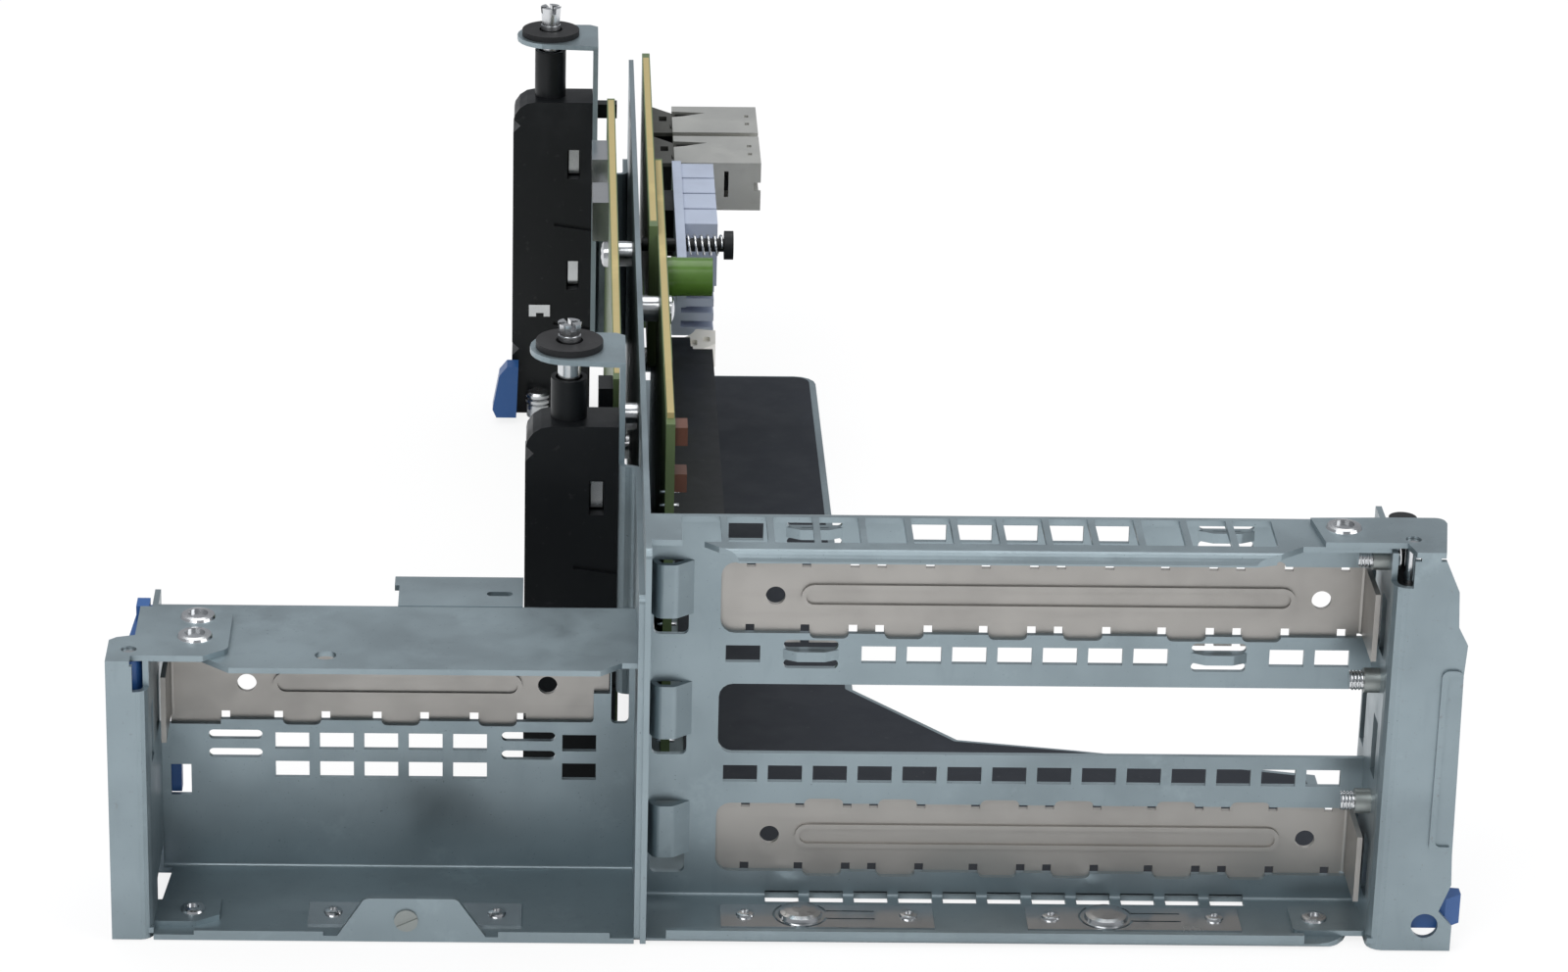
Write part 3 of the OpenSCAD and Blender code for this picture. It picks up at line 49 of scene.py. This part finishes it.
SLOT_OF = {s["node"]: s["material_slot"] for s in RECORD["subparts"]}
MM = 0.001
STEEL_NODES_WITH_RUST = ("right_column", "left_column", "main_wall")
CREAM = "board_cream"

# Places on the towers, in millimetres from a tower's left front foot
TOWER_PLATE_X = 11.5
TOWER_PLATE_SIZE = (2.3, 5.8)
TOWER_PLATE_DEPTH = (2.8, 3.65)
TOWER_PLATE_HEIGHTS = (31, 55.5)

# Pins in the boards' contact rows
PIN_PITCH = 2.54 * MM
PIN_RADIUS = 0.35 * MM
PIN_REACH = 0.9 * MM
RIGHT_PIN_COUNT = 20
THREAD_RADIUS = 1.5 * MM

# The camera stands in front of the slots and looks down at them
LENS = 119.25
SENSOR = 36
SHIFT = (0.15, 0.0001875)
CAMERA_PLACE = (-0.016, -0.780, 0.4065)
TILT = math.radians(67.5)
ROLL = math.radians(0.5)


# ---------------------------------------------------------------- materials

class Tree:
    """Builds a procedural material around one Principled shader."""

    def __init__(self, name, color, rough, metal=0.0, spec=0.5):
        self.m = bpy.data.materials.new(name)
        self.m.use_nodes = True
        self.n = self.m.node_tree.nodes
        self.l = self.m.node_tree.links
        self.p = self.n["Principled BSDF"]
        self.p.inputs["Base Color"].default_value = (*color, 1)
        self.p.inputs["Roughness"].default_value = rough
        self.p.inputs["Metallic"].default_value = metal
        self.p.inputs["Specular IOR Level"].default_value = spec
        self.co = self.n.new("ShaderNodeTexCoord").outputs["Object"]
        self.color = color
        self.col = None
        self.height = None

    def scaled(self, stretch):
        """The object's own coordinates, stretched along each axis."""
        mp = self.n.new("ShaderNodeMapping")
        mp.inputs["Scale"].default_value = stretch
        self.l.new(self.co, mp.inputs["Vector"])
        return mp.outputs["Vector"]

    def noise(self, scale, detail=3.0, rough=0.55, stretch=(1, 1, 1)):
        t = self.n.new("ShaderNodeTexNoise")
        t.inputs["Scale"].default_value = scale
        t.inputs["Detail"].default_value = detail
        t.inputs["Roughness"].default_value = rough
        self.l.new(self.scaled(stretch), t.inputs["Vector"])
        return t.outputs["Fac"]

    def times(self, fac, other, clamp=False):
        """Product of a socket and of a number or another socket."""
        t = self.n.new("ShaderNodeMath")
        t.operation = "MULTIPLY"
        t.use_clamp = clamp
        self.l.new(fac, t.inputs[0])
        if isinstance(other, (int, float)):
            t.inputs[1].default_value = other
        else:
            self.l.new(other, t.inputs[1])
        return t.outputs[0]

    def band(self, fac, lo, hi, a=0.0, b=1.0):
        """Goes smoothly from a to b while fac goes from lo to hi."""
        t = self.n.new("ShaderNodeMapRange")
        t.interpolation_type = "SMOOTHSTEP"
        t.inputs["From Min"].default_value = lo
        t.inputs["From Max"].default_value = hi
        t.inputs["To Min"].default_value = a
        t.inputs["To Max"].default_value = b
        self.l.new(fac, t.inputs["Value"])
        return t.outputs["Result"]

    def paint(self, fac, color, amount=1.0):
        """Lays color over what is there, as strong as fac times amount."""
        t = self.n.new("ShaderNodeMix")
        t.data_type = "RGBA"
        f = self.times(fac, amount, clamp=True)
        self.l.new(f, t.inputs["Factor"])
        a = [i for i in t.inputs if i.name == "A" and i.type == "RGBA"][0]
        b = [i for i in t.inputs if i.name == "B" and i.type == "RGBA"][0]
        out = [o for o in t.outputs if o.type == "RGBA"][0]
        if self.col is None:
            a.default_value = (*self.color, 1)
        else:
            self.l.new(self.col, a)
        b.default_value = (*color, 1)
        self.col = out
        return self

    def roughen(self, fac, lo, hi):
        """Roughness between lo and hi, after fac."""
        self.l.new(self.band(fac, 0.3, 0.7, lo, hi), self.p.inputs["Roughness"])
        return self

    def bump(self, fac, strength, dist=0.0002):
        """Adds a bump over the bumps that are there."""
        t = self.n.new("ShaderNodeBump")
        t.inputs["Strength"].default_value = strength
        t.inputs["Distance"].default_value = dist
        self.l.new(fac, t.inputs["Height"])
        if self.height is not None:
            self.l.new(self.height, t.inputs["Normal"])
        self.height = t.outputs["Normal"]
        return self

    def axis(self, name):
        s = self.n.new("ShaderNodeSeparateXYZ")
        self.l.new(self.co, s.inputs[0])
        return s.outputs[name]

    def done(self):
        """Links colour and bump to the shader and gives the material."""
        if self.col is not None:
            self.l.new(self.col, self.p.inputs["Base Color"])
        if self.height is not None:
            self.l.new(self.height, self.p.inputs["Normal"])
        return self.m


def darker(color, share):
    return tuple(c * share for c in color)


def lighter(color, share, lift=0.0):
    return tuple(min(1, c * share + lift) for c in color)


def zinc(name, color=(0.25, 0.305, 0.33), rust=0.0, lo=0.30, hi=0.46):
    """Zinc-plated sheet: cloudy, faintly grained, with dark specks and rust at the front edges."""
    t = Tree(name, color, 0.38, 0.82)
    blotch = t.noise(26, 4, 0.6)
    grain = t.noise(420, 2, 0.5, (1, 1, 0.25))
    t.paint(t.band(blotch, 0.45, 0.75), darker(color, 0.80), 0.8)
    t.paint(t.band(t.noise(75, 5, 0.7), 0.56, 0.72), lighter(color, 1.22), 0.5)
    t.paint(t.band(grain, 0.58, 0.75), darker(color, 0.85), 0.35)
    t.paint(t.band(t.noise(2600, 2, 0.5), 0.70, 0.76), (0.03, 0.035, 0.035), 0.5)
    if rust:
        spots = t.band(t.noise(700, 5, 0.7), 0.60, 0.72)
        near = t.band(t.axis("Y"), 0.0008, 0.0, 0.0, 1.0)
        t.paint(t.times(spots, near), (0.12, 0.06, 0.04), rust)
    t.roughen(t.noise(60, 4, 0.6), lo, hi)
    t.bump(grain, 0.12, 0.00008)
    t.bump(t.noise(9, 2, 0.5), 0.25, 0.0012)
    return t.done()


def steel(name, color, rough=(0.25, 0.4), metal=0.9, brush=(1, 1, 1)):
    """Bare or plated steel with a fine grain, longer along one axis where it is brushed."""
    t = Tree(name, color, rough[0], metal)
    grain = t.noise(500, 2, 0.5, brush)
    t.paint(t.band(t.noise(40, 4, 0.6), 0.5, 0.75), darker(color, 0.82), 0.7)
    t.paint(t.band(grain, 0.55, 0.8), darker(color, 0.88), 0.4)
    t.roughen(t.noise(90, 3, 0.6), *rough)
    t.bump(grain, 0.10, 0.00006)
    return t.done()


def plastic(name, color, rough=(0.35, 0.5), dust=0.05, grain=900, spec=0.4):
    """Moulded plastic, lacquer or rubber with a fine grain and a little dust."""
    t = Tree(name, color, rough[0], 0.0, spec)
    t.paint(t.band(t.noise(60, 4, 0.6), 0.55, 0.8), lighter(color, 1.6, 0.01), 0.6)
    t.paint(t.band(t.noise(700, 2, 0.6), 0.66, 0.75), (0.45, 0.45, 0.44), dust)
    t.roughen(t.noise(120, 3, 0.5), *rough)
    t.bump(t.noise(grain, 2, 0.5), 0.10, 0.00005)
    return t.done()


MATS = {
    "zinc_sheet": zinc("zinc_sheet"),
    "cover_steel": steel("cover_steel", (0.36, 0.345, 0.325), (0.36, 0.48), 0.8, (0.08, 1, 1)),
    "bright_steel": steel("bright_steel", (0.58, 0.59, 0.60), (0.14, 0.28), 1.0),
    "dull_steel": steel("dull_steel", (0.28, 0.30, 0.29), (0.3, 0.45), 0.85),
    "black_film": plastic("black_film", (0.012, 0.015, 0.021), (0.5, 0.62), 0.03, spec=0.2),
    "black_plastic": plastic("black_plastic", (0.005, 0.006, 0.007), (0.36, 0.5), 0.02, spec=0.25),
    "dark_metal": steel("dark_metal", (0.09, 0.09, 0.08), (0.35, 0.5), 0.6),
    "blue_plastic": plastic("blue_plastic", (0.018, 0.075, 0.23), (0.3, 0.42), 0.02),
    "green_board": plastic("green_board", (0.09, 0.13, 0.055), (0.3, 0.45), 0.03),
    "white_plastic": plastic("white_plastic", (0.72, 0.70, 0.65), (0.3, 0.45), 0.0),
    "heat_sink_metal": steel("heat_sink_metal", (0.44, 0.49, 0.60), (0.4, 0.5), 0.5),
    "green_sleeve": plastic("green_sleeve", (0.06, 0.13, 0.02), (0.15, 0.25), 0.0),
    "brown_ceramic": plastic("brown_ceramic", (0.10, 0.04, 0.025), (0.3, 0.4), 0.0),
    "rubber_black": plastic("rubber_black", (0.006, 0.006, 0.007), (0.55, 0.7), 0.02),
    CREAM: plastic(CREAM, (0.36, 0.29, 0.13), (0.5, 0.65), 0.02),
}
WORN = zinc("zinc_worn", rust=0.3)
SHELL = steel("connector_shell", (0.55, 0.55, 0.52), (0.3, 0.42), 0.85)


def material_of(node):
    if node in STEEL_NODES_WITH_RUST:
        return WORN
    if node.startswith("cable_connector"):
        return SHELL
    return MATS[SLOT_OF[node]]


for node, obj in NODES.items():
    for sl in obj.material_slots:
        sl.link = "OBJECT"
        sl.material = material_of(node)


# ---------------------------------------------------------------- small pieces

def block(lo, hi):
    """Corners and faces of a box between two corners."""
    v = [(x, y, z) for x in (lo[0], hi[0]) for y in (lo[1], hi[1]) for z in (lo[2], hi[2])]
    f = [(0, 1, 3, 2), (4, 6, 7, 5), (0, 4, 5, 1), (2, 3, 7, 6), (0, 2, 6, 4), (1, 5, 7, 3)]
    return v, f


def tube(points, r, sides=8):
    """Round tube along a line of points, closed at both ends."""
    v, f = [], []
    n = len(points)
    for i, p in enumerate(points):
        d = (Vector(points[min(i + 1, n - 1)]) - Vector(points[max(i - 1, 0)])).normalized()
        side = d.cross(Vector((0, 0.1, 1))).normalized()
        up = side.cross(d)
        for k in range(sides):
            a = 2 * math.pi * k / sides
            v.append(tuple(Vector(p) + r * (math.cos(a) * side + math.sin(a) * up)))
    for i in range(n - 1):
        for k in range(sides):
            a, b = i * sides + k, i * sides + (k + 1) % sides
            f.append((a, b, b + sides, a + sides))
    f.append(tuple(range(sides - 1, -1, -1)))
    f.append(tuple(range((n - 1) * sides, n * sides)))
    return v, f


def piece(name, shapes, slot, smooth=False, bevel=0.0):
    """Joins shapes into one object of the cage."""
    verts, faces = [], []
    for v, f in shapes:
        start = len(verts)
        verts += v
        faces += [tuple(i + start for i in q) for q in f]
    me = bpy.data.meshes.new(name)
    me.from_pydata(verts, [], faces)
    me.polygons.foreach_set("use_smooth", [smooth] * len(me.polygons))
    me.materials.append(MATS[slot])
    o = bpy.data.objects.new(name, me)
    bpy.context.collection.objects.link(o)
    if bevel:
        b = o.modifiers.new("bevel", "BEVEL")
        b.width = bevel
        b.segments = 2
    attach(o, "cage")
    return o


def helix(x0, x1, y, z, r, turns, steps=20):
    """Points of a coil about an axis along X."""
    n = int(turns * steps)
    return [(x0 + (x1 - x0) * i / n, y + r * math.cos(2 * math.pi * i / steps),
             z + r * math.sin(2 * math.pi * i / steps)) for i in range(n + 1)]


def push_pin_coil():
    """Wire spring on the push pin, in place of the frame's slotted sleeve."""
    lo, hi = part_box("push_pin_spring")
    wire = 0.25 * MM
    y, z = (lo[1] + hi[1]) / 2, (lo[2] + hi[2]) / 2
    r = (hi[1] - lo[1]) / 2 - wire
    coil = helix(lo[0] + wire, hi[0] - wire, y, z, r, 5.5)
    o = piece("push_pin_coil", [tube(coil, wire)], "bright_steel", True)
    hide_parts("push_pin_spring")


def slot_screw_threads():
    """Threads on the free ends of the slot screws."""
    lo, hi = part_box("slot_screws")
    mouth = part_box("slot_bushes")[0][0]
    head_r = (hi[1] - lo[1]) / 2
    y = (lo[1] + hi[1]) / 2
    wire = 0.2 * MM
    pitch = (hi[2] - lo[2] - 2 * head_r) / 2
    coils = []
    for i in range(3):
        z = lo[2] + head_r + i * pitch
        coils.append(tube(helix(lo[0] + wire, mouth - wire, y, z, THREAD_RADIUS, 3.5), wire, 6))
    piece("slot_screw_threads", coils, "bright_steel", True)


def tower_plates():
    """Bright plates that show in the towers' windows."""
    width, height = TOWER_PLATE_SIZE
    front, back = TOWER_PLATE_DEPTH
    plates = []
    for node in ("near_tower", "far_tower"):
        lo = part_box(node)[0]
        for z in TOWER_PLATE_HEIGHTS:
            a = (lo[0] + TOWER_PLATE_X * MM, lo[1] + front * MM, lo[2] + (z - height / 2) * MM)
            b = (a[0] + width * MM, lo[1] + back * MM, a[2] + height * MM)
            plates.append(block(a, b))
    piece("tower_plates", plates, "bright_steel", False, 0.00012)


def board_edges():
    """Cream fibre edges along the boards' tops."""
    strips = []
    lip = 0.03 * MM
    for node in ("riser_board", "rear_board", "left_board"):
        lo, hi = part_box(node)
        strips.append(block((lo[0] + 0.2 * MM, lo[1] + 3 * MM, hi[2] - 1.4 * MM),
                            (hi[0] - 0.2 * MM, hi[1] - 3 * MM, hi[2] + lip)))
    piece("board_edges", strips, CREAM)


def board_pins():
    """Solder pins along the riser board's near edge, and on the left board's face."""
    pins = []
    lo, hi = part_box("riser_board")
    y = lo[1] + 1.6 * MM
    for i in range(RIGHT_PIN_COUNT):
        z = lo[2] + 8 * MM + i * PIN_PITCH
        pins.append(tube([(lo[0] - PIN_REACH, y, z), (hi[0] + PIN_REACH, y, z)], PIN_RADIUS))
    lo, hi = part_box("left_board")
    y = lo[1] + 2.2 * MM
    for i in range(int((hi[2] - lo[2]) / PIN_PITCH) - 4):
        z = lo[2] + 5 * MM + i * PIN_PITCH
        pins.append(tube([(lo[0] - PIN_REACH, y, z), (hi[0], y, z)], PIN_RADIUS))
    piece("board_pins", pins, "bright_steel", True)


push_pin_coil()
slot_screw_threads()
tower_plates()
board_edges()
board_pins()


# ---------------------------------------------------------------- stage

def floor():
    """Pale floor under and behind the part."""
    bpy.ops.mesh.primitive_plane_add(size=8, location=(0, 0.3, -0.0003))
    o = bpy.context.object
    o.name = "floor"
    m = bpy.data.materials.new("floor")
    m.use_nodes = True
    n, l = m.node_tree.nodes, m.node_tree.links
    p = n["Principled BSDF"]
    p.inputs["Base Color"].default_value = (0.9, 0.9, 0.9, 1)
    p.inputs["Roughness"].default_value = 0.9
    # the camera sees the floor as a nearly white paper sweep, with a faint shadow
    glow = n.new("ShaderNodeEmission")
    glow.inputs["Color"].default_value = (1, 1, 1, 1)
    mix = n.new("ShaderNodeMixShader")
    rays = n.new("ShaderNodeLightPath").outputs["Is Camera Ray"]
    part = n.new("ShaderNodeMath")
    part.operation = "MULTIPLY"
    part.inputs[1].default_value = 0.85
    l.new(rays, part.inputs[0])
    l.new(part.outputs[0], mix.inputs["Fac"])
    l.new(p.outputs["BSDF"], mix.inputs[1])
    l.new(glow.outputs["Emission"], mix.inputs[2])
    l.new(mix.outputs["Shader"], n["Material Output"].inputs["Surface"])
    o.data.materials.append(m)


def area(name, loc, target, size, power):
    """Soft light at loc that looks at target."""
    d = bpy.data.lights.new(name, "AREA")
    d.shape = "RECTANGLE"
    d.size, d.size_y = size
    d.energy = power
    o = bpy.data.objects.new(name, d)
    bpy.context.collection.objects.link(o)
    o.location = loc
    o.rotation_euler = (Vector(target) - Vector(loc)).to_track_quat("-Z", "Y").to_euler()


def sky():
    """Even pale light from all around."""
    world = bpy.data.worlds.new("world")
    bpy.context.scene.world = world
    world.use_nodes = True
    bg = world.node_tree.nodes["Background"]
    bg.inputs["Color"].default_value = (0.92, 0.95, 1, 1)
    bg.inputs["Strength"].default_value = 0.42


def camera():
    data = bpy.data.cameras.new("camera")
    data.lens = LENS
    data.sensor_width = SENSOR
    data.shift_x, data.shift_y = SHIFT
    o = bpy.data.objects.new("camera", data)
    bpy.context.collection.objects.link(o)
    turn = Matrix.Rotation(TILT, 4, "X") @ Matrix.Rotation(ROLL, 4, "Z")
    o.matrix_world = Matrix.Translation(CAMERA_PLACE) @ turn
    bpy.context.scene.camera = o


floor()
area("key", (-0.5, -0.7, 1.1), (0.02, 0.1, 0.03), (0.9, 0.9), 12)
area("fill", (0.9, -0.4, 0.7), (0.05, 0.1, 0.04), (0.8, 0.8), 5)
area("top", (0.0, 0.5, 1.2), (0.03, 0.12, 0.03), (1.2, 1.0), 9)
sky()
camera()
bpy.context.scene.view_settings.view_transform = "Standard"
